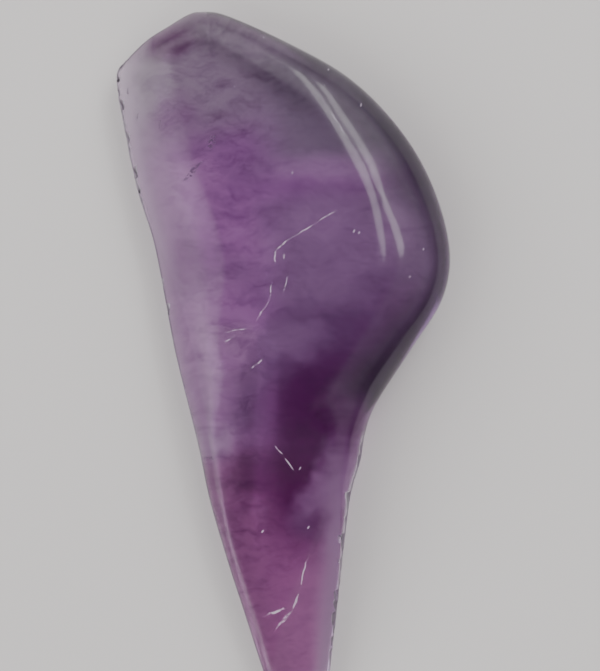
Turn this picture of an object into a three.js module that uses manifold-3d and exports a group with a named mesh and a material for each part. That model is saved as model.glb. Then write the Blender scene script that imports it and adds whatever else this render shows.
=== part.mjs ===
// A palm-sized freeform of purple fluorite, ground and polished from one piece of rough.
// It lies on its flat back with the polished face up: +X runs towards the full round back
// of the blade, +Y from the tip to the crown, +Z out of the polished face. Millimetres.
import * as THREE from "three";
import { mergeVertices } from "three/addons/utils/BufferGeometryUtils.js";
import Module from "manifold-3d";

// Driving dimensions
const stoneLength = 99; // crown to tip
const stoneWidth = 45.7; // thin edge to full round back
const headThickness = 12.6; // through the head, the thickest part
const stemThickness = 8.2; // half way down the stem
const tipThickness = 5.4;

// Facets left by the grinding wheel: a point on the facet, the way it falls away from the
// flat (degrees round from +X) and how steeply
const backFacet = { across: 43.5, along: 55, z: 0, heading: 178, slope: 6.5 };
const wornFacet = { across: 57.4, along: 25.2, z: 8.2, heading: -45, slope: 17.3 };

// Broken stretches of the rim, as shares of a side from the crown to the tip. Fluorite
// splits along the faces of an octahedron, so its chips are corners of one.
const chippedStretches = [
  { side: "thin", from: 0.125, to: 0.31, count: 28, size: 1.5, bite: 0.13 },
  { side: "thin", from: 0.37, to: 0.5, count: 5, size: 1.3, bite: 0.12 },
  { side: "round", from: 0.655, to: 0.93, count: 32, size: 1.8, bite: 0.22 },
];
const crystalTurn = new THREE.Euler(0.5, 0.3, 0.9); // how the crystal lies in the stone
const chipTurn = 0.5; // radians that single chips stray from it

// Mesh steps
const outlineSteps = 288; // down each side when measuring to the outline
const stepsAlong = 72; // down each side of the surface
const rimSteps = 6; // across the rounding of the rim
const faceSteps = 4; // from the rim to the middle of a face
const middleReach = 0.9; // how far the last ring runs towards the middle line

// The outline seen from the front, in percent of the width from the thin edge and of the
// length from the tip. Both sides run from the crown to the tip.
const crown = [26.6, 100];
const tip = [55.9, 0];
const thinSide = [
  [22.8, 99.85],
  [14.9, 97.8],
  [9.2, 96.1],
  [3.1, 93.3],
  [0.4, 91.8],
  [0, 90.6],
  [2.3, 83.9],
  [6.3, 75.3],
  [10.6, 69.1],
  [12.2, 66],
  [17.5, 53.2],
  [24.8, 39.4],
  [27.9, 32.5],
  [37.3, 18.1],
  [49, 2.8],
  [52.9, 0.4],
];
const roundSide = [
  [30.4, 99.85],
  [50, 96],
  [70.6, 90.5],
  [87.3, 82.2],
  [96.4, 73.9],
  [100, 65.9],
  [97.6, 60.1],
  [88.3, 53.2],
  [77, 44.9],
  [74.4, 41.3],
  [73.2, 38],
  [70.6, 33.9],
  [68.1, 25.6],
  [65.5, 14.5],
  [62.2, 4.1],
  [58.9, 0.7],
];

// How the rim is shaped down each side, from the crown (0) to the tip (1): the height of the
// parting line, the flat wall left at it, how far the face and the back roll in from it, and
// the roundness of that roll, where 1 is a wedge and 2 a full round.
const thinRim = [
  { at: 0, parting: 4.6, wall: 0.4, front: 5, back: 3.4, roundness: 1.9 },
  { at: 0.07, parting: 4.3, wall: 0.6, front: 3.6, back: 2.2, roundness: 1.5 },
  { at: 0.14, parting: 4.2, wall: 1.1, front: 8.5, back: 1.4, roundness: 1.12 },
  { at: 0.35, parting: 4.1, wall: 1.3, front: 10, back: 1.2, roundness: 1.1 },
  { at: 0.5, parting: 3.9, wall: 1.6, front: 6.4, back: 1.1, roundness: 1.2 },
  { at: 0.62, parting: 3.6, wall: 1.8, front: 2.4, back: 1, roundness: 1.4 },
  { at: 0.75, parting: 3.3, wall: 1.8, front: 1.6, back: 0.9, roundness: 1.5 },
  { at: 0.9, parting: 2.8, wall: 1.4, front: 1.5, back: 0.9, roundness: 1.5 },
  { at: 1, parting: 2.5, wall: 0.9, front: 1.8, back: 1.2, roundness: 1.6 },
];
const roundRim = [
  { at: 0, parting: 4.6, wall: 0.4, front: 5, back: 3.4, roundness: 1.9 },
  { at: 0.12, parting: 5, wall: 0.2, front: 6, back: 4, roundness: 1.95 },
  { at: 0.28, parting: 5.8, wall: 0.05, front: 9.4, back: 5.8, roundness: 2 },
  { at: 0.45, parting: 6, wall: 0.05, front: 10.8, back: 6.4, roundness: 2 },
  { at: 0.58, parting: 5.4, wall: 0.1, front: 8.6, back: 5, roundness: 1.95 },
  { at: 0.66, parting: 4.4, wall: 1.2, front: 4.2, back: 2.2, roundness: 1.5 },
  { at: 0.73, parting: 3.9, wall: 1.8, front: 2.2, back: 1.3, roundness: 1.5 },
  { at: 0.82, parting: 3.4, wall: 1.8, front: 1.7, back: 1, roundness: 1.5 },
  { at: 0.92, parting: 2.9, wall: 1.4, front: 1.6, back: 0.9, roundness: 1.5 },
  { at: 1, parting: 2.5, wall: 0.9, front: 1.8, back: 1.2, roundness: 1.6 },
];

const acrossToX = (across) => (across / 100 - 0.5) * stoneWidth;
const alongToY = (along) => (along / 100 - 0.5) * stoneLength;

// One side of the outline as points at equal steps from the crown to the tip
function sideLine(side) {
  const curve = new THREE.CatmullRomCurve3(
    [crown, ...side, tip].map(([across, along]) =>
      new THREE.Vector3(acrossToX(across), alongToY(along), 0),
    ),
    false,
    "centripetal",
  );
  curve.arcLengthDivisions = 2000;
  return curve.getSpacedPoints(outlineSteps);
}

const sides = {
  thin: { line: sideLine(thinSide), stations: thinRim, outward: -1 },
  round: { line: sideLine(roundSide), stations: roundRim, outward: 1 },
};
const outline = [...sides.thin.line, ...sides.round.line.slice(1, -1).reverse()];

// A point of a side's line at a share of the way from the crown to the tip
function pointAt(line, share) {
  const index = Math.min(share * outlineSteps, outlineSteps - 1e-6);
  const low = Math.floor(index);
  return line[low].clone().lerp(line[low + 1], index - low);
}

// The rim's values at a share of the way down a side, eased between its stations
function rimAt(stations, share) {
  const next = Math.max(
    1,
    stations.findIndex((station) => station.at >= share),
  );
  const before = stations[next - 1];
  const after = stations[next];
  const eased = THREE.MathUtils.smoothstep(share, before.at, after.at);
  const rim = {};
  for (const key of Object.keys(before)) {
    rim[key] = THREE.MathUtils.lerp(before[key], after[key], eased);
  }
  return rim;
}

function distanceToOutline(point) {
  const edge = new THREE.Line3();
  const nearest = new THREE.Vector3();
  let distance = Infinity;
  outline.forEach((start, i) => {
    edge.set(start, outline[(i + 1) % outline.length]);
    edge.closestPointToPoint(point, true, nearest);
    distance = Math.min(distance, nearest.distanceTo(point));
  });
  return distance;
}

// Height of the polished face away from the rim. It falls from the head to the tip, bows a
// little across, and leans down towards the thin side.
function faceHeight(x, y) {
  const down = 0.5 - y / stoneLength;
  const neck = THREE.MathUtils.smoothstep(down, 0.42, 0.78);
  const end = THREE.MathUtils.smoothstep(down, 0.72, 1);
  const crownFall = 1.6 * (1 - THREE.MathUtils.smoothstep(down, 0, 0.3));
  const middle = THREE.MathUtils.lerp(headThickness, stemThickness, neck);
  const lean = 0.05 * (x - 3);
  const bow = 0.0032 * (x - 5) ** 2;
  return middle - (stemThickness - tipThickness) * end - crownFall + lean - bow;
}

const roll = (share, roundness) => (1 - (1 - Math.min(share, 1)) ** 2) ** (1 / roundness);

// One face as rings of points, from the outline in to the middle line
function surfaceRings(facing) {
  const rings = [];
  for (let ring = 0; ring <= rimSteps + faceSteps; ring++) {
    const chains = Object.values(sides).map(({ line, stations }) => {
      const chain = [];
      for (let i = 0; i <= stepsAlong; i++) {
        const share = i / stepsAlong;
        const rim = rimAt(stations, share);
        const start = pointAt(line, share);
        const midShare = 0.12 + 0.82 * share;
        const middle = pointAt(sides.thin.line, midShare);
        middle.lerp(pointAt(sides.round.line, midShare), 0.5);
        const span = start.distanceTo(middle);
        const reach = Math.min(facing > 0 ? rim.front : rim.back, span * 0.7);
        const rimTurn = (Math.min(ring / rimSteps, 1) * Math.PI) / 2;
        const rimShare = (reach / span) * (1 - Math.cos(rimTurn));
        const faceShare = Math.max(ring - rimSteps, 0) / faceSteps;
        const inward = THREE.MathUtils.lerp(rimShare, middleReach, faceShare);
        const point = start.clone().lerp(middle, inward);
        const rimHeight = rim.parting + facing * rim.wall;
        const flatHeight = facing > 0 ? faceHeight(point.x, point.y) : 0;
        const rolled = ring ? roll(distanceToOutline(point) / reach, rim.roundness) : 0;
        point.z = THREE.MathUtils.lerp(rimHeight, flatHeight, rolled);
        chain.push(point);
      }
      return chain;
    });
    rings.push([...chains[0], ...chains[1].slice(1, -1).reverse()]);
  }
  return rings;
}

// The body before its facets and chips: the rings of both faces, the wall between them, and
// a ladder of faces along the middle line of each
function bodyGeometry() {
  const front = surfaceRings(1);
  const back = surfaceRings(-1);
  const around = front[0].length;
  const positions = [];
  const quad = (a, b, c, d) => {
    positions.push(...a, ...b, ...c, ...a, ...c, ...d);
  };
  const band = (outer, inner, facing) => {
    for (let i = 0; i < around; i++) {
      const j = (i + 1) % around;
      if (facing > 0) {
        quad(outer[i], outer[j], inner[j], inner[i]);
      } else {
        quad(outer[j], outer[i], inner[i], inner[j]);
      }
    }
  };
  const ladder = (ring, facing) => {
    for (let i = 0; i < stepsAlong; i++) {
      const mirror = ring[(around - i) % around];
      const mirrorNext = ring[around - i - 1];
      if (facing > 0) {
        quad(ring[i], ring[i + 1], mirrorNext, mirror);
      } else {
        quad(ring[i + 1], ring[i], mirror, mirrorNext);
      }
    }
  };
  for (let ring = 1; ring < front.length; ring++) {
    band(front[ring - 1], front[ring], 1);
    band(back[ring - 1], back[ring], -1);
  }
  band(back[0], front[0], 1);
  ladder(front.at(-1), 1);
  ladder(back.at(-1), -1);
  return new THREE.BufferGeometry().setAttribute(
    "position",
    new THREE.Float32BufferAttribute(positions, 3),
  );
}

const wasm = await Module();
wasm.setup();

function solidFrom(geometry) {
  const bare = new THREE.BufferGeometry().setAttribute(
    "position",
    (geometry.index ? geometry.toNonIndexed() : geometry).attributes.position,
  );
  const merged = mergeVertices(bare, 1e-4);
  return new wasm.Manifold(
    new wasm.Mesh({
      numProp: 3,
      vertProperties: merged.attributes.position.array,
      triVerts: new Uint32Array(merged.index.array),
    }),
  );
}

// The block that the wheel takes away for a facet. Its near face lies on the facet.
function groundAway({ across, along, z, heading, slope }, facing) {
  const blockSize = 160;
  const block = new THREE.BoxGeometry(blockSize, blockSize, blockSize);
  block.translate(0, 0, (facing * blockSize) / 2);
  block.rotateY(THREE.MathUtils.degToRad(facing * slope));
  block.rotateZ(THREE.MathUtils.degToRad(heading));
  block.translate(acrossToX(across), alongToY(along), z);
  return solidFrom(block);
}

// Chips out of the two arrises of a stretch of the rim. The golden ratio spreads their
// places, sizes and turns without a pattern.
function chips({ side, from, to, count, size, bite }) {
  const golden = (Math.sqrt(5) - 1) / 2;
  const { line, stations, outward } = sides[side];
  const made = [];
  for (let i = 0; i < count; i++) {
    const spread = ((i + 1) * golden) % 1;
    const share = from + ((to - from) * (i + 0.7 * spread)) / count;
    const rim = rimAt(stations, share);
    const facing = i % 3 ? 1 : -1;
    const arris = pointAt(line, share).setZ(rim.parting + facing * rim.wall);
    const onward = pointAt(line, share + 0.004).sub(pointAt(line, share)).normalize();
    const tilt = THREE.MathUtils.degToRad(15 + 40 * spread);
    const away = new THREE.Vector3(
      -outward * onward.y * Math.cos(tilt),
      outward * onward.x * Math.cos(tilt),
      facing * Math.sin(tilt),
    );
    const turn = new THREE.Quaternion().setFromEuler(crystalTurn);
    const stray = chipTurn * (((5 * spread) % 1) - 0.5);
    turn.multiply(new THREE.Quaternion().setFromEuler(new THREE.Euler(stray, stray, 0)));
    const chipSize = size * (0.55 + 0.9 * ((3 * spread) % 1));
    const within = away.clone().applyQuaternion(turn.clone().invert());
    const toFace = chipSize / (Math.abs(within.x) + Math.abs(within.y) + Math.abs(within.z));
    const chip = new THREE.OctahedronGeometry(chipSize);
    chip.applyQuaternion(turn);
    chip.translate(...away.multiplyScalar(toFace - bite * (0.4 + 1.2 * spread)).add(arris));
    made.push(solidFrom(chip));
  }
  return made;
}

let body = solidFrom(bodyGeometry());
body = body.subtract(groundAway(backFacet, -1));
body = body.subtract(groundAway(wornFacet, 1));
for (const stretch of chippedStretches) {
  for (const chip of chips(stretch)) {
    body = body.subtract(chip);
  }
}

const ground = body.getMesh();
const geometry = new THREE.BufferGeometry();
geometry.setAttribute("position", new THREE.BufferAttribute(ground.vertProperties, 3));
geometry.setIndex(new THREE.BufferAttribute(ground.triVerts, 1));
const purpleFluorite = new THREE.MeshStandardMaterial({
  color: 0x7a5a80,
  roughness: 0.05,
  metalness: 0,
});
const stone = new THREE.Mesh(geometry, purpleFluorite);
stone.name = "polished_stone";
const part = new THREE.Group();
part.add(stone);

export default part;
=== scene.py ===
import math

import bpy
import numpy as np
from mathutils import Euler, Matrix, Vector, noise


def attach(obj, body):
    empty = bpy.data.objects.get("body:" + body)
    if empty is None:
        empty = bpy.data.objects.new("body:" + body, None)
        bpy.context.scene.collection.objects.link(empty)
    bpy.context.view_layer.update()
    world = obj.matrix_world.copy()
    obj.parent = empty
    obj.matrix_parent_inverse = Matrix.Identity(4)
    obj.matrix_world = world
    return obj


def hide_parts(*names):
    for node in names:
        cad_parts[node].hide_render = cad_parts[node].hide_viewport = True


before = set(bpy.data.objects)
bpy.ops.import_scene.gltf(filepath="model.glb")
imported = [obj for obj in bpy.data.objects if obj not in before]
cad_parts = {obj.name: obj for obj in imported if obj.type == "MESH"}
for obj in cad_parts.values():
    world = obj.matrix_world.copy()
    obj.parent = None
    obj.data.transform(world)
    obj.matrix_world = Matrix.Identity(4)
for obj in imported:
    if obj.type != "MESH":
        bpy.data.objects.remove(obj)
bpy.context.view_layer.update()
mm = 0.001
golden = (math.sqrt(5) - 1) / 2

# The form, in mm. The outline is in percent of the width from the thin edge and of the
# length from the tip, and both of its sides run from the crown down to the tip.
stone = {
    "length": 99.0,
    "width": 45.7,
    "headThickness": 12.6,
    "stemThickness": 8.2,
    "tipThickness": 5.4,
    "crownFall": 1.6,
    "neck": (0.42, 0.78),  # shares of the way down where the face falls to the stem
    "crownEnd": 0.3,
    "tipStart": 0.72,
    "lean": (0.05, 3),  # mm that the face rises per mm across, and x where it is level
    "bow": (0.0032, 5),  # how round the face is across, and x of its crest
    "crown": (26.6, 100),
    "tip": (55.9, 0),
    "thinSide": [
        (22.8, 99.85), (14.9, 97.8), (9.2, 96.1), (3.1, 93.3), (0.4, 91.8), (0, 90.6),
        (2.3, 83.9), (6.3, 75.3), (10.6, 69.1), (12.2, 66), (17.5, 53.2), (24.8, 39.4),
        (27.9, 32.5), (37.3, 18.1), (49, 2.8), (52.9, 0.4),
    ],
    "roundSide": [
        (30.4, 99.85), (50, 96), (70.6, 90.5), (87.3, 82.2), (96.4, 73.9), (100, 65.9),
        (97.6, 60.1), (88.3, 53.2), (77, 44.9), (74.4, 41.3), (73.2, 38), (70.6, 33.9),
        (68.1, 25.6), (65.5, 14.5), (62.2, 4.1), (58.9, 0.7),
    ],
    # share of the way down, height of the parting line, half the flat wall left there, how
    # far face and back roll in from it, roundness of the roll (1 a wedge, 2 a full round)
    "thinRim": [
        (0, 4.6, 0.4, 5, 3.4, 1.9), (0.07, 4.3, 0.6, 3.6, 2.2, 1.5),
        (0.14, 4.2, 1.1, 8.5, 1.4, 1.12), (0.35, 4.1, 1.3, 10, 1.2, 1.1),
        (0.5, 3.9, 1.6, 6.4, 1.1, 1.2), (0.62, 3.6, 1.8, 2.4, 1, 1.4),
        (0.75, 3.3, 1.8, 1.6, 0.9, 1.5), (0.9, 2.8, 1.4, 1.5, 0.9, 1.5),
        (1, 2.5, 0.9, 1.8, 1.2, 1.6),
    ],
    "roundRim": [
        (0, 4.6, 0.4, 5, 3.4, 1.9), (0.12, 5, 0.2, 6, 4, 1.95),
        (0.28, 5.8, 0.05, 9.4, 5.8, 2), (0.45, 6, 0.05, 10.8, 6.4, 2),
        (0.58, 5.4, 0.1, 8.6, 5, 1.95), (0.66, 4.4, 1.2, 4.2, 2.2, 1.5),
        (0.73, 3.9, 1.8, 2.2, 1.3, 1.5), (0.82, 3.4, 1.8, 1.7, 1, 1.5),
        (0.92, 2.9, 1.4, 1.6, 0.9, 1.5), (1, 2.5, 0.9, 1.8, 1.2, 1.6),
    ],
    # ground facets: a point on it in percent and mm, heading and slope in degrees
    "backFacet": (43.5, 55, 0, 178, 6.5),
    "wornFacet": (57.4, 25.2, 8.2, -45, 17.3),
    # where the middle line of the faces starts and ends down each side, and how much of the
    # way to it a rim may take
    "middleLine": (0.12, 0.94),
    "widestRim": 0.7,
    "ridgeSoftness": 0.1,
    "backRidgeSoftness": 0.4,
    # chipped stretches of the rim: side, from, to, then how many chips, their size and bite
    "chips": [
        ("thin", 0.125, 0.31, 28, 1.5, 0.13),
        ("thin", 0.37, 0.5, 5, 1.3, 0.12),
        ("round", 0.655, 0.93, 32, 1.8, 0.22),
    ],
    # a stretch longer than this is a broken rim, which fades in and out, and not a few nicks
    "breakLength": 0.15,
    "breakFade": (0.02, 0.04),
    "crystalTurn": (0.5, 0.3, 0.9),  # how the crystal lies in the stone
    "chipTurn": 0.5,  # radians that single chips stray from it
    "polishWave": 0.02,  # how far hand polishing leaves the faces out of true
    "waveLength": 9,
    "breakGrain": 0.07,  # the roughness of the broken rim
    "grainLength": 0.9,
    "grainReach": (0.15, 0.7),  # mm from the rim where the grain starts to fade and is gone
    "frostSteepness": (0.7, 0.3),  # upward part of a broken face's direction, clear to frosted
    # how far the painted shade along the round rim and the pale edge reach in: share of the way
    # down, mm
    "roundRimShade": [(0, 0.5), (0.1, 0.8), (0.2, 3), (0.3, 5), (0.42, 3.2), (0.55, 5.4), (0.63, 0)],
    "paleRim": [(0, 0.8), (0.08, 1.2), (0.14, 3.4), (0.35, 3.6), (0.55, 2.6), (0.7, 1.4), (1, 0.8)],
    "paleStem": [(0.6, 0), (0.66, 2), (0.72, 2.8), (0.85, 2.8), (1, 1.6)],
    # The dark line round the rim is painted shade: the shade of the steep rim, drawn into the
    # colour
    "rimShadeLine": (0.34, 0.1),  # mm from the rim where the dark line starts and is full
    "rimShadeLineRound": 0.35,  # how strong it is on the round back, above the stem
    "stemFrom": 0.62,
}
meshRows = {
    "outline": 288,
    "downSide": 380,
    "frontRim": 36,
    "backRim": 20,
    "face": 20,
    "wall": 6,
    "middleReach": 0.97,  # how far the last row runs towards the middle line
}


def easeBetween(x, start, end):
    t = np.clip((x - start) / (end - start), 0, 1)
    return t * t * (3 - 2 * t)


def percentToMm(across, along):
    return (across / 100 - 0.5) * stone["width"], (along / 100 - 0.5) * stone["length"]


# One side of the outline, as points at equal steps on a centripetal curve
def sideLine(side):
    points = [percentToMm(*point) for point in [stone["crown"], *side, stone["tip"]]]
    p = np.array(points)
    p = np.vstack([2 * p[0] - p[1], p, 2 * p[-1] - p[-2]])
    t = np.linspace(0, 1, 60, endpoint=False)[:, None]
    stretches = []
    for a, b, c, d in zip(p, p[1:], p[2:], p[3:]):
        ab, bc, cd = (math.dist(*ends) ** 0.5 for ends in ((a, b), (b, c), (c, d)))
        leave = bc * ((b - a) / ab - (c - a) / (ab + bc) + (c - b) / bc)
        arrive = bc * ((c - b) / bc - (d - b) / (bc + cd) + (d - c) / cd)
        square = 3 * (c - b) - 2 * leave - arrive
        cube = 2 * (b - c) + leave + arrive
        stretches.append(b + leave * t + square * t**2 + cube * t**3)
    line = np.vstack([*stretches, p[-2]])
    travelled = np.r_[0, np.cumsum(np.hypot(*np.diff(line, axis=0).T))]
    even = np.linspace(0, travelled[-1], meshRows["outline"] + 1)
    return np.stack([np.interp(even, travelled, line[:, k]) for k in (0, 1)], axis=1)


thinLine = sideLine(stone["thinSide"])
roundLine = sideLine(stone["roundSide"])
outline = np.vstack([thinLine, roundLine[1:-1][::-1]])
sides = {
    "thin": (thinLine, stone["thinRim"], -1),
    "round": (roundLine, stone["roundRim"], 1),
}


def lineAt(line, share):
    steps = np.linspace(0, 1, len(line))
    return np.stack([np.interp(share, steps, line[:, k]) for k in (0, 1)], axis=-1)


# The rim's values at a share of the way down a side, eased between its stations
def rimAt(stations, share):
    table = np.array(stations, float)
    after = np.clip(np.searchsorted(table[:, 0], share), 1, len(table) - 1)
    before = table[after - 1]
    eased = easeBetween(share, before[..., 0], table[after][..., 0])
    values = before + (table[after] - before) * eased[..., None]
    return np.moveaxis(values, -1, 0)[1:]


def distanceToOutline(points):
    distance = np.full(len(points), np.inf)
    for start, end in zip(outline, np.roll(outline, -1, axis=0)):
        way = end - start
        t = np.clip((points - start) @ way / (way @ way), 0, 1)
        gap = points - start - t[:, None] * way
        distance = np.minimum(distance, np.hypot(gap[:, 0], gap[:, 1]))
    return distance


# Height of the polished face away from the rim: it falls from the head to the tip, bows a
# little across, and leans down towards the thin side
def faceHeight(x, y):
    down = 0.5 - y / stone["length"]
    neckFall = stone["headThickness"] - stone["stemThickness"]
    neckFall = neckFall * easeBetween(down, *stone["neck"])
    tipFall = stone["stemThickness"] - stone["tipThickness"]
    tipFall = tipFall * easeBetween(down, stone["tipStart"], 1)
    crownFall = stone["crownFall"] * (1 - easeBetween(down, 0, stone["crownEnd"]))
    rise, level = stone["lean"]
    bow, crest = stone["bow"]
    across = rise * (x - level) - bow * (x - crest) ** 2
    return stone["headThickness"] - neckFall - tipFall - crownFall + across


# Rows of points over one face of one side, from the outline in to the middle line
def surfaceRows(name, facing):
    line, stations, _ = sides[name]
    share = np.linspace(0, 1, meshRows["downSide"] + 1)
    parting, wall, front, back, roundness = rimAt(stations, share)
    start = lineAt(line, share)
    middleShare = np.interp(share, (0, 1), stone["middleLine"])
    middle = (lineAt(thinLine, middleShare) + lineAt(roundLine, middleShare)) / 2
    span = np.hypot(*(middle - start).T)
    reach = np.minimum(front if facing > 0 else back, span * stone["widestRim"])
    rimRows = meshRows["frontRim"] if facing > 0 else meshRows["backRim"]
    row = np.arange(rimRows + meshRows["face"] + 1)[:, None]
    rimShare = reach / span * (1 - np.cos(np.clip(row / rimRows, 0, 1) * np.pi / 2))
    faceShare = np.clip(row - rimRows, 0, None) / meshRows["face"]
    inward = rimShare + (meshRows["middleReach"] - rimShare) * faceShare
    flat = start + (middle - start) * inward[..., None]
    away = distanceToOutline(flat.reshape(-1, 2)).reshape(inward.shape)
    away[0] = 0
    rolled = (1 - (1 - np.clip(away / reach, 0, 1)) ** 2) ** (1 / roundness)
    level = faceHeight(flat[..., 0], flat[..., 1]) if facing > 0 else 0
    edge = parting + facing * wall
    height = edge + (level - edge) * rolled
    return np.dstack([flat, height]), away


def closedLoops(thinRows, roundRows):
    return np.concatenate([thinRows, roundRows[:, -2:0:-1]], axis=1)


# Height of a facet's plane over each point
def facetHeight(facet, x, y):
    across, along, z, heading, slope = facet
    px, py = percentToMm(across, along)
    heading = math.radians(heading)
    fall = (x - px) * math.cos(heading) + (y - py) * math.sin(heading)
    return z, fall * math.tan(math.radians(slope))


def softLower(a, b, softness):
    h = np.clip(0.5 + 0.5 * (b - a) / softness, 0, 1)
    return b * (1 - h) + a * h - softness * h * (1 - h)


# Fluorite splits along the faces of an octahedron, so the chips out of the two arrises of
# each chipped stretch are corners of one: centre, size and turn. The golden ratio spreads
# them without a pattern.
def chipCorners():
    crystal = Euler(stone["crystalTurn"], "ZYX").to_matrix()
    corners = []
    for name, start, end, count, size, bite in stone["chips"]:
        line, stations, outward = sides[name]
        for i in range(count):
            spread = (i + 1) * golden % 1
            share = start + (end - start) * (i + 0.7 * spread) / count
            parting, wall, *_ = rimAt(stations, np.array(share))
            facing = 1 if i % 3 else -1
            arris = Vector((*lineAt(line, share), parting + facing * wall))
            onX, onY = lineAt(line, share + 0.004) - lineAt(line, share)
            onward = Vector((onX, onY)).normalized()
            tilt = math.radians(15 + 40 * spread)
            aside = outward * math.cos(tilt)
            away = Vector((-aside * onward.y, aside * onward.x, facing * math.sin(tilt)))
            stray = stone["chipTurn"] * (5 * spread % 1 - 0.5)
            turn = crystal @ Euler((stray, stray, 0), "ZYX").to_matrix()
            chipSize = size * (0.55 + 0.9 * (3 * spread % 1))
            toFace = chipSize / sum(abs(part) for part in turn.transposed() @ away)
            centre = arris + away * (toFace - bite * (0.4 + 1.2 * spread))
            corners.append((np.array(centre), chipSize, np.array(turn)))
    return corners


# How much of the rim beside each point of a side is broken, from 0 to 1
def brokenShare(name, share):
    fadeIn, fadeOut = stone["breakFade"]
    broken = np.zeros_like(share)
    for chipped, start, end, *_ in stone["chips"]:
        if chipped == name and end - start > stone["breakLength"]:
            ramp = easeBetween(share, start - fadeIn, start)
            ramp = ramp * (1 - easeBetween(share, end, end + fadeOut))
            broken = np.maximum(broken, ramp)
    return broken


# How strong a band by the rim is at each mm from it, fading out over its width
def rimBandDepth(widths, share, away):
    width = np.interp(share, *zip(*widths))
    return (1 - easeBetween(away, 0.25 * width, 1.6 * width + 0.01)) * (width > 0.01)


def buildStone():
    halves = {}
    for facing in (1, -1):
        grids = [surfaceRows(name, facing) for name in ("thin", "round")]
        halves[facing] = (
            closedLoops(grids[0][0], grids[1][0]),
            np.concatenate([grids[0][1], grids[1][1][:, -2:0:-1]], axis=1),
        )
    (front, frontAway), (back, backAway) = halves[1], halves[-1]
    down = np.linspace(0, 1, meshRows["wall"] + 1)[1:-1, None, None]
    wall = front[0] + (back[0] - front[0]) * down
    loops = np.concatenate([front[::-1], wall, back])
    away = np.concatenate([frontAway[::-1], np.zeros(wall.shape[:2]), backAway])
    share = np.linspace(0, 1, meshRows["downSide"] + 1)
    broken = np.concatenate([brokenShare("thin", share), brokenShare("round", share)[-2:0:-1]])
    brokenGrid = np.broadcast_to(broken, away.shape)
    allShares = np.concatenate([share, share[-2:0:-1]])
    onThin = np.arange(loops.shape[1]) <= meshRows["downSide"]
    # painted shade: a dark grey band along the round rim
    rimShadeBand = np.where(onThin, 0, rimBandDepth(stone["roundRimShade"], allShares, away))
    paleStem = rimBandDepth(stone["paleStem"], allShares, away)
    pale = np.where(onThin, rimBandDepth(stone["paleRim"], allShares, away), paleStem)
    fullShadeLine = onThin | (allShares > stone["stemFrom"])
    # painted shade: a dark line just inside the rim
    shadedLine = easeBetween(away, *stone["rimShadeLine"]) * np.where(fullShadeLine, 1, stone["rimShadeLineRound"])

    points = loops.reshape(-1, 3).copy()
    x, y = points[:, 0], points[:, 1]
    base, fall = facetHeight(stone["wornFacet"], x, y)
    points[:, 2] = softLower(points[:, 2], base - fall, stone["ridgeSoftness"])
    base, fall = facetHeight(stone["backFacet"], x, y)
    points[:, 2] = -softLower(-points[:, 2], -(base + fall), stone["backRidgeSoftness"])
    chipped = np.zeros(len(points))
    for centre, chipSize, turn in chipCorners():
        arm = points - centre
        reach = np.abs(arm @ turn).sum(axis=1)
        inside = reach < chipSize
        points[inside] = centre + arm[inside] * (chipSize / reach[inside])[:, None]
        chipped[inside] = 1
    points[:, 2] -= min(points[:, 2].min(), 0)

    around = loops.shape[1]
    one = np.arange(len(loops) - 1)[:, None] * around
    i = np.arange(around)[None]
    j = (i + 1) % around
    quads = np.stack([one + around + i, one + around + j, one + j, one + i], axis=-1)
    faces = quads.reshape(-1, 4).tolist()
    last = (len(loops) - 1) * around
    for k in range(meshRows["downSide"]):
        strip = [k, k + 1, around - k - 1, (around - k) % around]
        strip = list(dict.fromkeys(strip))
        faces.append(strip)
        faces.append([last + v for v in reversed(strip)])

    mesh = bpy.data.meshes.new("fluoriteStone")
    mesh.from_pydata((points * mm).tolist(), [], faces)
    mesh.polygons.foreach_set("use_smooth", [True] * len(mesh.polygons))
    mesh.update()

    # Hand polishing leaves slow waves in the faces, and a break leaves grain
    normals = np.zeros(len(points) * 3)
    mesh.vertex_normals.foreach_get("vector", normals)
    grainy = brokenGrid.ravel() * (1 - easeBetween(away.ravel(), *stone["grainReach"]))
    grainy = np.maximum(grainy, chipped)
    steepness = np.abs(normals[2::3])
    frosted = grainy * easeBetween(steepness, *stone["frostSteepness"])
    shift = np.empty(len(points))
    for v, (point, grain) in enumerate(zip(points.tolist(), grainy.tolist())):
        shift[v] = stone["polishWave"] * noise.noise(Vector(point) / stone["waveLength"])
        if grain > 0:
            shift[v] += grain * stone["breakGrain"] * noise.fractal(
                Vector(point) / stone["grainLength"], 0.9, 2, 3
            )
    shift[points[:, 2] < 0.02] = 0  # the flat back stays flat
    points += normals.reshape(-1, 3) * shift[:, None]
    mesh.vertices.foreach_set("co", (points * mm).ravel())
    mesh.update()

    # Broken faces are flat. The material reads the dark line of painted shade round the rim, how
    # broken and how frosted it is, and the depth of the painted shade along the round rim and of
    # the pale edge.
    shades = [all(chipped[v] for v in face) for face in faces]
    mesh.polygons.foreach_set("use_smooth", [not shade for shade in shades])
    for name, values in (
        ("rimShadeLine", shadedLine.ravel()),
        ("brokenRim", grainy),
        ("frostedRim", frosted),
        ("roundRimShade", rimShadeBand.ravel()),
        ("paleRim", pale.ravel()),
    ):
        mesh.attributes.new(name, "FLOAT", "POINT").data.foreach_set("value", values)
    made = bpy.data.objects.new("fluoriteStone", mesh)
    bpy.context.scene.collection.objects.link(made)
    return made


fluoriteStone = buildStone()
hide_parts("polished_stone")
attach(fluoriteStone, "root")
print("stone", len(fluoriteStone.data.polygons), "faces")


def linear(hexColour):
    channels = [int(hexColour[k : k + 2], 16) / 255 for k in (0, 2, 4)]
    return tuple(
        c / 12.92 if c <= 0.04045 else ((c + 0.055) / 1.055) ** 2.4 for c in channels
    ) + (1,)


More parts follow.
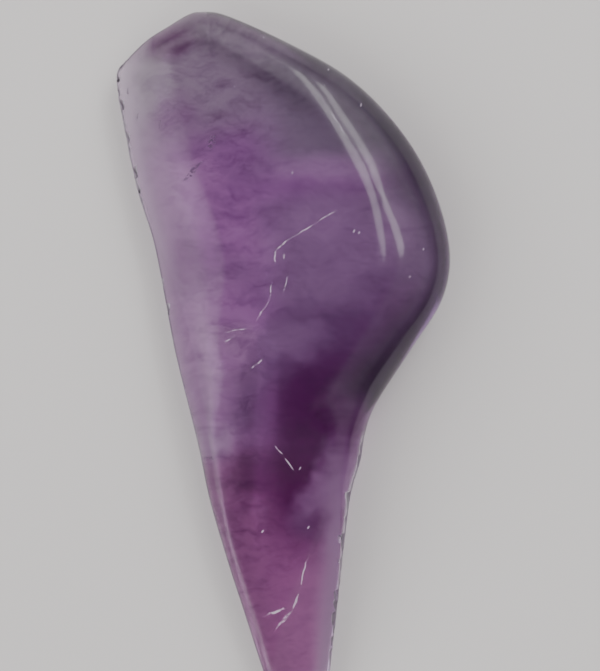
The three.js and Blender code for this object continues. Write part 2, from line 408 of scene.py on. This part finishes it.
# Adds a node with its settings and inputs, and gives back one of its outputs
def addNode(tree, kind, settings=None, inputs=None, output=0):
    made = tree.nodes.new("ShaderNode" + kind)
    for name, value in (settings or {}).items():
        setattr(made, name, value)
    for name, value in (inputs or {}).items():
        if isinstance(value, bpy.types.NodeSocket):
            tree.links.new(value, made.inputs[name])
        else:
            made.inputs[name].default_value = value
    return made.outputs[output]


# Fluorite, sawn from the rough, ground and hand-polished: a glassy low-index surface over a
# see-through body with soft purple and grey growth zones, scratched in use and a little
# frosted where it broke. Colours are what the surface lets through once.
fluorite = {
    "ior": 1.434,
    "polishRoughness": 0.1,
    "breakRoughness": 0.38,
    "scratchRoughness": 0.5,
    "breakFrost": 0.45,  # how much of the light a steep broken face scatters, and a scratch
    "scratchFrost": 0.65,
    "absorption": "dbbee1",  # what is left of white light after 1 / density metres
    "absorptionDensity": 65,
    "colours": {
        "crown": "e2e0e4",
        "smoke": "d5d5d9",
        "orchid": "fadcfc",
        "paleOrchid": "fff0ff",
        "lilac": "e6c2ea",
        "violet": "e0d2e4",
        "deepViolet": "bfa4c4",
        "mauve": "c890cc",
        "plum": "a45ca2",
        "stem": "e8badf",
        "stemShade": "a4569e",
        # painted shade of the band along the round rim; also the grey of one smoky cloud in the
        # head
        "greyAndRimShade": "66696e",
        # pale edge colour; one cloud on the round shoulder also uses it as a painted highlight
        "edge": "fcf0ff",
        "scratch": "dcd0e0",
        "pit": "6c5876",
        # painted shade of the dark line round the rim
        "line": "857d8b",
    },
    # growth zones of the thin half and of the round half, percent of the length from the tip
    "thinZones": [
        (0, "stem"), (36, "stem"), (42, "orchid"), (50, "paleOrchid"), (58, "orchid"),
        (72, "orchid"), (79, "lilac"), (88, "crown"),
    ],
    "roundZones": [
        (0, "stem"), (22, "stem"), (33, "stemShade"), (42, "plum"), (46, "plum"),
        (56.5, "deepViolet"), (61.5, "violet"), (73, "violet"), (77, "lilac"), (80, "smoke"),
        (92, "smoke"),
    ],
    # the zones and the seam stray by slow noise: length of its waves, and how far each of
    # them shifts from its lowest value to its highest, in mm
    "wanderLength": 14,
    "zoneWander": 8.8,
    "seamWander": 5.0,
    # where the halves meet, mm from the middle, and how wide the change is; the change is
    # sharp only along the crack in the middle of the head
    "seam": (-1.8, 8.4),
    "crackSeam": (-2.2, 1.2),
    "crackReach": (-3, 6, 8.5, 1.5),  # y of its lower end, mm it fades in, the same above
    "crackStrength": 0.55,
    # how clouds stray: length of the waves, detail, roughness, reach across, along, through
    "cloudStray": (4.5, 2, 0.6, (6, 5, 0)),
    "cloudRim": (1.3, 0.25),  # where they start and are full, as a share of their size
    # soft clouds: x, y, half length and half width in mm, turn in degrees, colour, strength
    "clouds": [
        (-15.2, 45.3, 4.5, 2.2, 20, "plum", 0.75),
        (-6.0, 45.4, 9.5, 1.5, -27, "edge", 0.5),
        (-1.0, 39.5, 8.0, 2.6, -30, "greyAndRimShade", 0.16),
        (-15.6, 34.5, 4.5, 3.5, 30, "mauve", 0.6),
        (-5.0, 27.2, 5.0, 2.4, 0, "deepViolet", 0.3),
        (-11.5, 22.0, 6.0, 3.0, 10, "lilac", 0.5),
        (-11.0, 27.4, 4.6, 2.8, 0, "orchid", 0.9),
        (-8.6, 14.5, 6.5, 3.4, -8, "violet", 0.4),
        (-10.8, 16.4, 4.2, 5.0, 0, "mauve", 0.8),
        (-8.8, 3.4, 5.5, 4.0, 60, "orchid", 0.8),
        (8.0, 28.0, 12.0, 2.5, 3, "edge", 0.8),
        # this pale cloud on the round shoulder is a painted highlight, the soft light beside the
        # tubes' streaks
        (16.0, 20.0, 5.5, 4.0, 60, "edge", 0.6),
        (-1.4, 21.0, 3.0, 2.6, 0, "deepViolet", 0.45),
        (-3.0, 12.6, 5.0, 3.6, -10, "deepViolet", 0.25),
        (-2.2, 3.0, 2.2, 3.2, 0, "deepViolet", 0.8),
        (5.5, 20.8, 5.5, 3.2, 0, "edge", 0.35),
        (13.0, 12.0, 4.5, 3.4, 20, "deepViolet", 0.5),
        # this plum cloud by the lower right rim is partly the stone's plum zone and partly painted
        # shade of the dark band along the rim
        (15.0, 7.8, 6.4, 3.6, 50, "plum", 0.36),
        (1.6, 5.0, 5.0, 3.6, 0, "violet", 0.85),
        (5.0, -1.0, 6.0, 3.6, 35, "plum", 0.28),
        (10.4, -2.6, 6.5, 3.6, 50, "smoke", 0.5),
        (-4.4, -3.4, 3.8, 5.6, -10, "deepViolet", 0.75),
        (-6.2, 4.8, 3.2, 2.6, 0, "paleOrchid", 1.0),
        (-0.6, 0.4, 2.8, 2.4, 30, "deepViolet", 0.6),
        (-9.6, -2.6, 3.0, 2.6, 0, "orchid", 0.6),
        (-11.6, -4.6, 1.9, 3.6, 10, "violet", 0.6),
        (-8.6, -9.4, 3.4, 2.2, 40, "edge", 0.9),
        (-2.6, -13.2, 5.0, 4.2, 0, "stemShade", 0.8),
        (5.8, -15.2, 6.4, 2.5, 50, "edge", 0.72),
        (3.2, -20.5, 2.8, 3.4, 0, "deepViolet", 0.6),
        (8.2, -20.5, 2.8, 7.5, 4, "edge", 0.85),
        (8.6, -10.4, 3.2, 4.4, -20, "edge", 0.6),
        (-2.4, -6.5, 2.6, 8.0, -12, "plum", 0.4),
    ],
    "veilSize": (4.2, 1.8, 5.0),  # mm between the fine veils across, along and through
    "veilStrength": (0.74, 0.36),  # in the thin half and in the round half
    "veilContrast": (0.47, 0.7),
    "mist": 0.1,
    # bands by the rim, each from the mesh: colour and strength; the round back's band and the dark
    # line are painted shade
    "rims": [("roundRimShade", "greyAndRimShade", 1.0), ("paleRim", "edge", 0.95), ("rimShadeLine", "line", 0.85)],
    "marksFrom": (2.2, 3.2),  # marks start between these heights, on the polished face
    "markStray": (1.6, 1, 0.5, (0.7, 0.7, 0)),  # as for the clouds, so that none is straight
    # scratches: x and y of both ends and width, in mm
    "scratches": [
        (-1.1, 14.9, -1.1, 16.7, 0.12), (-1.1, 16.7, 0.9, 18.1, 0.12),
        (0.9, 18.1, 4.4, 20.3, 0.1), (4.4, 20.3, 7.4, 21.9, 0.09),
        (0.2, 15.0, 0.2, 16.3, 0.1), (-1.4, 12.3, -1.8, 10.0, 0.1),
        (-1.8, 10.0, -3.5, 7.2, 0.12), (0.8, 14.1, 0.1, 10.7, 0.08),
        (-7.8, 5.5, -4.8, 6.1, 0.09), (-8.0, 4.4, -6.5, 4.9, 0.08),
        (-4.4, 0.5, -2.6, 2.3, 0.12), (-1.1, -9.6, 0.0, -11.3, 0.13),
        (0.0, -11.3, 1.6, -13.3, 0.14), (3.4, -24.6, 2.3, -29.8, 0.12),
        (2.3, -29.8, 1.2, -32.5, 0.2), (1.2, -32.5, -1.0, -35.0, 0.26),
        (-2.6, -33.2, 0.4, -32.2, 0.24), (5.7, 37.2, 9.2, 30.6, 0.07),
    ],
    # small bruises: x, y and width in mm
    "bruises": [
        (-2.7, 45.7, 0.14), (6.2, 41.2, 0.14), (10.5, 36.4, 0.16), (19.0, 16.8, 0.14),
        (17.0, 13.1, 0.13), (9.6, 19.2, 0.2), (10.3, 19.0, 0.13), (2.3, -12.8, 0.17),
        (-2.9, -21.5, 0.22), (3.5, -21.0, 0.2), (1.2, 27.2, 0.16), (7.4, -29.0, 0.2),
    ],
    # a healed crack as a chain of dark pits: x, y of both ends and width
    "pits": [
        (-13.6, 26.1, -10.9, 28.8, 0.42), (-9.9, 30.5, -9.4, 32.0, 0.55),
        (-21.2, 38.0, -21.2, 39.2, 0.16), (-20.0, 34.2, -19.8, 35.8, 0.18),
        (-17.0, 33.2, -16.8, 34.6, 0.16), (-10.6, -11.4, -9.4, -11.8, 0.22),
    ],
    "pitGrain": 0.3125,  # mm between the grains that break up the pits
    "dotSpacing": 4.2,  # of the fine nicks, and the share of places that have one
    "dotShare": 0.45,
    "dotWidth": 0.11,
    "polishLines": (0.25, 6.25, 1),  # mm between the polishing lines and how long they run
    "polishDepth": 0.0007,  # mm
}


def inHex(name):
    return linear(fluorite["colours"][name])


def fillRamp(ramp, zones):
    first, *middle, last = [(along / 100, inHex(name)) for along, name in zones]
    ramp.interpolation = "EASE"
    ramp.elements[0].position, ramp.elements[0].color = first
    ramp.elements[1].position, ramp.elements[1].color = last
    for position, colour in middle:
        ramp.elements.new(position).color = colour


turnedPlaces = {}


# The place seen in a frame turned about the height, made once for each angle
def turnedPlace(tree, place, turn):
    if turn == 0:
        return place
    if (place, turn) not in turnedPlaces:
        turnedPlaces[place, turn] = addNode(
            tree, "VectorRotate", {"rotation_type": "Z_AXIS"}, {"Vector": place, "Angle": -turn}
        )
    return turnedPlaces[place, turn]


# How far a point lies from the middle of an ellipse, as a share of the way to its rim
def ellipseShare(tree, place, x, y, halfLength, halfWidth, turn):
    middleX = x * math.cos(turn) + y * math.sin(turn)
    middleY = y * math.cos(turn) - x * math.sin(turn)
    local = addNode(
        tree,
        "VectorMath",
        {"operation": "MULTIPLY_ADD"},
        {
            0: turnedPlace(tree, place, turn),
            1: (1 / halfLength, 1 / halfWidth, 0),
            2: (-middleX / halfLength, -middleY / halfWidth, 0),
        },
    )
    return addNode(tree, "VectorMath", {"operation": "LENGTH"}, {0: local}, 1)


# The lowest of those shares over a list of straight marks, each tapering to its two ends
def markShare(tree, place, marks):
    lowest = 9.0
    for x0, y0, x1, y1, width in marks:
        halfLength = math.hypot(x1 - x0, y1 - y0) / 2 + width
        turn = round(math.atan2(y1 - y0, x1 - x0), 2)
        share = ellipseShare(
            tree, place, (x0 + x1) / 2, (y0 + y1) / 2, halfLength, width, turn
        )
        lowest = addNode(tree, "Math", {"operation": "MINIMUM"}, {0: share, 1: lowest})
    return lowest


softStep = {"interpolation_type": "SMOOTHSTEP"}
colourMix = {"data_type": "RGBA"}


# A place that strays from the real one by slow noise: how long its waves are, how fine and
# rough they get and how far they reach, in mm
def strayPlace(tree, placeMm, length, detail, roughness, reach):
    drift = addNode(
        tree,
        "TexNoise",
        inputs={
            "Vector": placeMm,
            "Scale": 1 / length,
            "Detail": detail,
            "Roughness": roughness,
        },
        output=1,
    )
    drift = addNode(tree, "VectorMath", {"operation": "SUBTRACT"}, {0: drift, 1: (0.5,) * 3})
    return addNode(
        tree, "VectorMath", {"operation": "MULTIPLY_ADD"}, {0: drift, 1: reach, 2: placeMm}
    )


# The growth zones down each half, straying a little, and how far over the seam a point lies
def growthZones(tree, placeMm, x, y):
    wander = addNode(
        tree,
        "TexNoise",
        inputs={"Vector": placeMm, "Scale": 1 / fluorite["wanderLength"], "Detail": 3},
    )
    wander = addNode(tree, "Math", {"operation": "SUBTRACT"}, {0: wander, 1: 0.5})
    strayed = addNode(
        tree,
        "Math",
        {"operation": "MULTIPLY_ADD"},
        {0: wander, 1: fluorite["zoneWander"], 2: y},
    )
    along = addNode(
        tree,
        "MapRange",
        inputs={
            "Value": strayed,
            "From Min": -stone["length"] / 2,
            "From Max": stone["length"] / 2,
        },
    )
    halves = []
    for zones in ("thinZones", "roundZones"):
        ramp = tree.nodes.new("ShaderNodeValToRGB")
        fillRamp(ramp.color_ramp, fluorite[zones])
        tree.links.new(along, ramp.inputs[0])
        halves.append(ramp.outputs[0])
    across = addNode(
        tree,
        "Math",
        {"operation": "MULTIPLY_ADD"},
        {0: wander, 1: fluorite["seamWander"], 2: x},
    )
    seams = []
    for middle, width in (fluorite["seam"], fluorite["crackSeam"]):
        ends = {"From Min": middle - width / 2, "From Max": middle + width / 2}
        seams.append(addNode(tree, "MapRange", softStep, {"Value": across, **ends}))
    low, lowFade, high, highFade = fluorite["crackReach"]
    crack = addNode(
        tree,
        "MapRange",
        softStep,
        {
            "Value": y,
            "From Min": low,
            "From Max": low + lowFade,
            "To Max": fluorite["crackStrength"],
        },
    )
    crackEnd = addNode(
        tree,
        "MapRange",
        softStep,
        {"Value": y, "From Min": high, "From Max": high - highFade},
    )
    crack = addNode(tree, "Math", {"operation": "MULTIPLY"}, {0: crack, 1: crackEnd})
    seam = addNode(tree, "Mix", inputs={0: crack, 2: seams[0], 3: seams[1]})
    colour = addNode(tree, "Mix", colourMix, {0: seam, 6: halves[0], 7: halves[1]}, 2)
    return colour, seams[0]


# Soft clouds with ragged rims, and fine veils that lie across the stone, fainter in the
# round half. A mist of grains about a millimetre wide lies over both halves.
def cloudsAndVeils(tree, colour, placeMm, overSeam, mist):
    ragged = strayPlace(tree, placeMm, *fluorite["cloudStray"])
    outer, inner = fluorite["cloudRim"]
    for *shape, turn, name, strength in fluorite["clouds"]:
        share = ellipseShare(tree, ragged, *shape, math.radians(turn))
        mask = addNode(
            tree,
            "MapRange",
            softStep,
            {"Value": share, "From Min": outer, "From Max": inner, "To Max": strength},
        )
        colour = addNode(tree, "Mix", colourMix, {0: mask, 6: colour, 7: inHex(name)}, 2)
    stretched = addNode(
        tree,
        "VectorMath",
        {"operation": "DIVIDE"},
        {0: ragged, 1: fluorite["veilSize"]},
    )
    veil = addNode(
        tree,
        "TexNoise",
        inputs={"Vector": stretched, "Scale": 1.0, "Detail": 4, "Roughness": 0.68},
    )
    thin, full = fluorite["veilStrength"]
    strength = addNode(tree, "Mix", inputs={0: overSeam, 2: thin, 3: full})
    low, high = fluorite["veilContrast"]
    veil = addNode(
        tree,
        "MapRange",
        inputs={"Value": veil, "From Min": low, "From Max": high, "To Max": strength},
    )
    veil = addNode(
        tree, "Math", {"operation": "MULTIPLY_ADD"}, {0: mist, 1: fluorite["mist"], 2: veil}
    )
    return addNode(
        tree,
        "Mix",
        {**colourMix, "blend_type": "MULTIPLY"},
        {0: veil, 6: colour, 7: inHex("deepViolet")},
        2,
    )


# How strongly each point is scratched, bruised or nicked, broken up by the mist
def scratchedShare(tree, placeMm, bent, mist):
    scratched = markShare(tree, bent, fluorite["scratches"])
    scratched = addNode(
        tree, "MapRange", inputs={"Value": scratched, "From Min": 1.0, "From Max": 0.3}
    )
    gaps = addNode(
        tree,
        "MapRange",
        inputs={"Value": mist, "From Min": 0.4, "From Max": 0.55, "To Min": 0.25},
    )
    scratched = addNode(tree, "Math", {"operation": "MULTIPLY"}, {0: scratched, 1: gaps})
    bruises = [
        (x - w / 2, y - w, x + w / 2, y + w, 0.6 * w) for x, y, w in fluorite["bruises"]
    ]
    bruised = markShare(tree, bent, bruises)
    bruised = addNode(
        tree, "MapRange", inputs={"Value": bruised, "From Min": 1.0, "From Max": 0.5}
    )
    flat = addNode(tree, "VectorMath", {"operation": "MULTIPLY"}, {0: placeMm, 1: (1, 1, 0)})
    nicks = tree.nodes.new("ShaderNodeTexVoronoi")
    tree.links.new(flat, nicks.inputs["Vector"])
    nicks.inputs["Scale"].default_value = 1 / fluorite["dotSpacing"]
    few = addNode(tree, "SeparateColor", inputs={"Color": nicks.outputs["Color"]})
    few = addNode(
        tree, "Math", {"operation": "LESS_THAN"}, {0: few, 1: fluorite["dotShare"]}
    )
    dotSize = fluorite["dotWidth"] / fluorite["dotSpacing"]
    dots = addNode(
        tree,
        "MapRange",
        inputs={
            "Value": nicks.outputs["Distance"],
            "From Min": dotSize,
            "From Max": dotSize / 3,
        },
    )
    nicked = addNode(tree, "Math", {"operation": "MULTIPLY"}, {0: dots, 1: few})
    for mark in (bruised, nicked):
        scratched = addNode(tree, "Math", {"operation": "MAXIMUM"}, {0: mark, 1: scratched})
    return scratched


# The pits of the healed crack, broken up into grains
def pittedShare(tree, placeMm, bent):
    pitted = markShare(tree, bent, fluorite["pits"])
    pitted = addNode(
        tree, "MapRange", inputs={"Value": pitted, "From Min": 1.0, "From Max": 0.5}
    )
    grains = addNode(
        tree, "TexNoise", inputs={"Vector": placeMm, "Scale": 1 / fluorite["pitGrain"], "Detail": 1}
    )
    grains = addNode(
        tree, "MapRange", inputs={"Value": grains, "From Min": 0.42, "From Max": 0.55}
    )
    return addNode(tree, "Math", {"operation": "MULTIPLY"}, {0: pitted, 1: grains})


def fluoriteMaterial():
    material = bpy.data.materials.new("purpleFluorite")
    material.use_nodes = True
    tree = material.node_tree
    tree.nodes.clear()
    place = addNode(tree, "TexCoord", output=3)
    placeMm = addNode(tree, "VectorMath", {"operation": "SCALE"}, {0: place, "Scale": 1 / mm})
    split = tree.nodes.new("ShaderNodeSeparateXYZ")
    tree.links.new(placeMm, split.inputs[0])
    x, y, z = split.outputs
    low, high = fluorite["marksFrom"]
    onFace = addNode(tree, "MapRange", inputs={"Value": z, "From Min": low, "From Max": high})
    mist = addNode(tree, "TexNoise", inputs={"Vector": placeMm, "Scale": 1.1, "Detail": 2})
    bent = strayPlace(tree, placeMm, *fluorite["markStray"])

    colour, overSeam = growthZones(tree, placeMm, x, y)
    colour = cloudsAndVeils(tree, colour, placeMm, overSeam, mist)

    # Painted shade along the round back, the pale thin edge and the dark line of painted shade
    # round the rim
    for rim, name, strength in fluorite["rims"]:
        mask = addNode(tree, "Attribute", {"attribute_name": rim}, output=2)
        mask = addNode(tree, "Math", {"operation": "MULTIPLY"}, {0: mask, 1: strength})
        colour = addNode(tree, "Mix", colourMix, {0: mask, 6: colour, 7: inHex(name)}, 2)

    scratched = scratchedShare(tree, placeMm, bent, mist)
    scratched = addNode(tree, "Math", {"operation": "MULTIPLY"}, {0: scratched, 1: onFace})
    pitted = pittedShare(tree, placeMm, bent)
    pitted = addNode(tree, "Math", {"operation": "MULTIPLY"}, {0: pitted, 1: onFace})
    for mask, name in ((scratched, "scratch"), (pitted, "pit")):
        colour = addNode(tree, "Mix", colourMix, {0: mask, 6: colour, 7: inHex(name)}, 2)

    # Broken faces are rougher, the steep ones are frosted too, and marks are both
    broken = addNode(tree, "Attribute", {"attribute_name": "brokenRim"}, output=2)
    frosted = addNode(tree, "Attribute", {"attribute_name": "frostedRim"}, output=2)
    roughness = addNode(
        tree,
        "MapRange",
        inputs={
            "Value": broken,
            "To Min": fluorite["polishRoughness"],
            "To Max": fluorite["breakRoughness"],
        },
    )
    marked = addNode(tree, "Math", {"operation": "MAXIMUM"}, {0: scratched, 1: pitted})
    roughness = addNode(
        tree, "Mix", inputs={0: marked, 2: roughness, 3: fluorite["scratchRoughness"]}
    )
    clear = addNode(
        tree,
        "Math",
        {"operation": "MULTIPLY_ADD"},
        {0: scratched, 1: -fluorite["scratchFrost"], 2: 1.0},
    )
    clear = addNode(
        tree,
        "Math",
        {"operation": "MULTIPLY_ADD"},
        {0: frosted, 1: -fluorite["breakFrost"], 2: clear},
    )

    # Polishing lines, a few hundredths of a millimetre apart on the real stone, drawn a
    # quarter of a millimetre apart so that they show
    lines = addNode(
        tree, "VectorMath", {"operation": "DIVIDE"}, {0: placeMm, 1: fluorite["polishLines"]}
    )
    lines = addNode(tree, "TexNoise", inputs={"Vector": lines, "Scale": 1.0, "Detail": 1})
    bump = addNode(
        tree,
        "Bump",
        inputs={"Strength": 1.0, "Distance": fluorite["polishDepth"] * mm, "Height": lines},
    )
    shader = addNode(
        tree,
        "BsdfPrincipled",
        inputs={
            "Base Color": colour,
            "Roughness": roughness,
            "IOR": fluorite["ior"],
            "Transmission Weight": clear,
            "Normal": bump,
        },
    )
    absorption = addNode(
        tree,
        "VolumeAbsorption",
        inputs={
            "Color": linear(fluorite["absorption"]),
            "Density": fluorite["absorptionDensity"],
        },
    )
    output = tree.nodes.new("ShaderNodeOutputMaterial")
    tree.links.new(shader, output.inputs["Surface"])
    tree.links.new(absorption, output.inputs["Volume"])
    return material


fluoriteStone.data.materials.append(fluoriteMaterial())
print("fluorite")

# A pale table in soft studio light, with two long soft tubes behind the round back
studio = {
    "floorColour": "d2cecd",
    "floorSize": 3.0,  # metres
    "floorGap": 0.05 * mm,
    # brightness of the room by height: at the floor's edge, up the walls, overhead
    "sky": [(0.0, 0.5), (0.12, 0.55), (0.4, 1.8), (0.85, 1.8), (0.97, 0.15)],
    # a broad pale wall beyond the thin edge, a dim patch of ceiling above it and a dim
    # corner beyond the round back: where each is, how wide (cosines), what it adds
    "patches": [
        ((-0.92, -0.1, 0.38), (0.45, 0.95), 1.15),
        ((-0.46, 0, 0.89), (0.8, 0.96), -1.3),
        ((0.85, -0.43, 0.3), (0.3, 0.85), -1.2),
    ],
    "dimmest": 0.12,
    # middle line of each tube in mm, its width and its brightness
    "tubes": [
        ([(150, 40, 900), (220, 380, 900), (390, 1000, 900), (560, 1700, 900)], 130, 4.8),
        ([(600, 50, 900), (370, 260, 900), (480, 600, 900), (900, 1700, 900)], 130, 4.8),
    ],
}


def buildStudio():
    size = studio["floorSize"] / 2
    mesh = bpy.data.meshes.new("floor")
    corners = [(-size, -size), (size, -size), (size, size), (-size, size)]
    mesh.from_pydata([(x, y, -studio["floorGap"]) for x, y in corners], [], [(0, 1, 2, 3)])
    floor = bpy.data.objects.new("floor", mesh)
    bpy.context.scene.collection.objects.link(floor)
    paint = bpy.data.materials.new("paleTable")
    paint.use_nodes = True
    shader = paint.node_tree.nodes["Principled BSDF"]
    shader.inputs["Base Color"].default_value = linear(studio["floorColour"])
    shader.inputs["Roughness"].default_value = 0.7
    mesh.materials.append(paint)

    world = bpy.data.worlds.new("studio")
    bpy.context.scene.world = world
    world.use_nodes = True
    tree = world.node_tree
    tree.nodes.clear()
    direction = addNode(tree, "TexCoord", output=0)
    split = tree.nodes.new("ShaderNodeSeparateXYZ")
    tree.links.new(direction, split.inputs[0])
    ramp = tree.nodes.new("ShaderNodeValToRGB")
    first, *middle, last = studio["sky"]
    elements = ramp.color_ramp.elements
    elements[0].position, elements[0].color = first[0], (first[1],) * 3 + (1,)
    elements[1].position, elements[1].color = last[0], (last[1],) * 3 + (1,)
    for position, level in middle:
        elements.new(position).color = (level,) * 3 + (1,)
    tree.links.new(split.outputs[2], ramp.inputs[0])
    light = ramp.outputs[0]
    for towards, (outer, inner), amount in studio["patches"]:
        patch = addNode(
            tree, "VectorMath", {"operation": "DOT_PRODUCT"}, {0: direction, 1: towards}, 1
        )
        patch = addNode(
            tree,
            "MapRange",
            softStep,
            {"Value": patch, "From Min": outer, "From Max": inner, "To Max": amount},
        )
        light = addNode(tree, "VectorMath", {"operation": "ADD"}, {0: light, 1: patch})
    dimmest = (studio["dimmest"],) * 3
    light = addNode(tree, "VectorMath", {"operation": "MAXIMUM"}, {0: light, 1: dimmest})
    background = addNode(tree, "Background", inputs={"Color": light, "Strength": 1.0})
    output = tree.nodes.new("ShaderNodeOutputWorld")
    tree.links.new(background, output.inputs["Surface"])


# One flat light for each stretch of a tube, turned down to the stone
def hangTube(name, path, width, brightness):
    for i, (start, end) in enumerate(zip(path, path[1:])):
        start, end = Vector(start) * mm, Vector(end) * mm
        length = (end - start).length
        data = bpy.data.lights.new(name + str(i), "AREA")
        data.shape = "RECTANGLE"
        data.size, data.size_y = length, width * mm
        data.energy = brightness * math.pi * length * width * mm
        light = bpy.data.objects.new(name + str(i), data)
        middle = (start + end) / 2
        along = (end - start).normalized()
        up = (middle - middle.project(along)).normalized()
        turn = Matrix((along, up.cross(along), up)).transposed()
        light.matrix_world = Matrix.Translation(middle) @ turn.to_4x4()
        light.visible_camera = False
        bpy.context.scene.collection.objects.link(light)


buildStudio()
for number, tube in enumerate(studio["tubes"]):
    hangTube("tube" + "ab"[number], *tube)
print("studio")

# The camera looks straight down on the polished face, as the photograph does, with the
# tip beyond the picture's lower edge
camera = {
    "pictureWidth": 600,
    "pictureHeight": 671,
    "pixelsPerMm": 7.295,
    "stoneCentre": (283.2, 372.75),  # where the middle of the stone lies in the picture
    "distance": 0.5,  # metres above the rim
    "rimHeight": 5 * mm,
}


def placeCamera():
    data = bpy.data.cameras.new("camera")
    scale = mm / camera["pixelsPerMm"]
    x = (camera["pictureWidth"] / 2 - camera["stoneCentre"][0]) * scale
    y = (camera["stoneCentre"][1] - camera["pictureHeight"] / 2) * scale
    data.lens = data.sensor_width * camera["distance"] / (camera["pictureHeight"] * scale)
    made = bpy.data.objects.new("camera", data)
    made.location = (x, y, camera["rimHeight"] + camera["distance"])
    bpy.context.scene.collection.objects.link(made)
    bpy.context.scene.camera = made


placeCamera()
print("camera")
